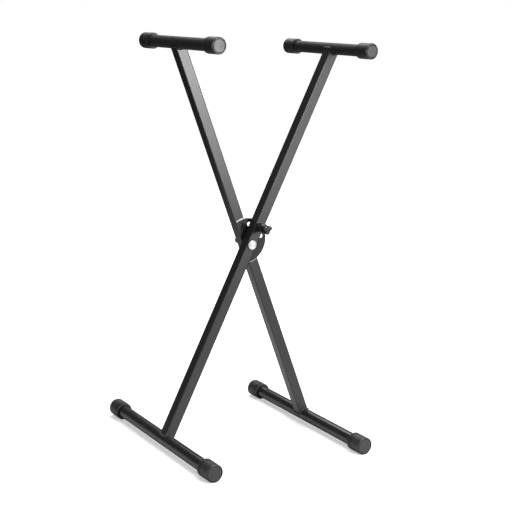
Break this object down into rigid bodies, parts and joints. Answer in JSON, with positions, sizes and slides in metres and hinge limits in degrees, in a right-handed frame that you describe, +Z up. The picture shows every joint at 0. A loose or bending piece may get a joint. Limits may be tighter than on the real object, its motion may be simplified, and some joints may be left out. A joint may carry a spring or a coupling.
{
  "type": "folding keyboard stand",
  "caption": "Folding X-shaped keyboard stand of crossed square tubes with round foot and arm bars, rubber end caps, a bolt pivot and a spring plunger lock.",
  "frame": {"origin": "on the floor, midway between the four feet, with the stand half open as drawn", "axes": "+X the way the legs spread, to the right seen from the front; +Y away from the viewer, along the bars; +Z up"},
  "size_m": [0.431, 0.46, 0.9028],
  "materials": {
    "powder_coat": "satin black powder coat",
    "rubber": "semi-matt black moulded rubber",
    "zinc_steel": "bright zinc plate",
    "spring_steel": "drawn spring wire",
    "nylon": "black nylon",
    "moulded_plastic": "satin black moulded plastic"
  },
  "bodies": {
    "rear_leg": {"rear_leg_tube": "powder_coat", "rear_foot_bar": "powder_coat", "rear_arm_bar": "powder_coat", "rear_foot_weld": "powder_coat", "rear_arm_weld": "powder_coat", "rear_foot_cap_near": "rubber", "rear_foot_cap_far": "rubber", "rear_arm_cap_near": "rubber", "rear_arm_cap_far": "rubber", "lock_plate": "powder_coat", "plate_stitches": "powder_coat", "pivot_bush": "zinc_steel"},
    "front_leg": {"front_leg_tube": "powder_coat", "front_foot_bar": "powder_coat", "front_arm_bar": "powder_coat", "front_foot_weld": "powder_coat", "front_arm_weld": "powder_coat", "front_foot_cap_near": "rubber", "front_foot_cap_far": "rubber", "front_arm_cap_near": "rubber", "front_arm_cap_far": "rubber", "pivot_bolt": "zinc_steel", "head_washer": "nylon", "crush_sleeve": "zinc_steel", "spacer_washer": "nylon", "rear_washer": "zinc_steel", "lock_nut": "zinc_steel", "nut_ring": "nylon", "plunger_barrel": "zinc_steel", "barrel_plug": "zinc_steel", "plunger_cover": "moulded_plastic", "plunger_spring": "spring_steel"},
    "lock_plunger": {"plunger_pin": "zinc_steel", "plunger_knob": "moulded_plastic"}
  },
  "joints": [
    {"name": "fold", "type": "hinge", "parent": "rear_leg", "child": "front_leg", "pos_m": [-0.00274, 0, 0.45252], "axis": [0, 1, 0], "range_deg": [-43, 48]},
    {"name": "lock_slide", "type": "slide", "parent": "front_leg", "child": "lock_plunger", "axis": [0, 1, 0], "range_m": [0, 0.0047], "stiffness_N_per_m": 1500, "springref_m": 0.01, "deforming": ["plunger_spring"]}
  ]
}
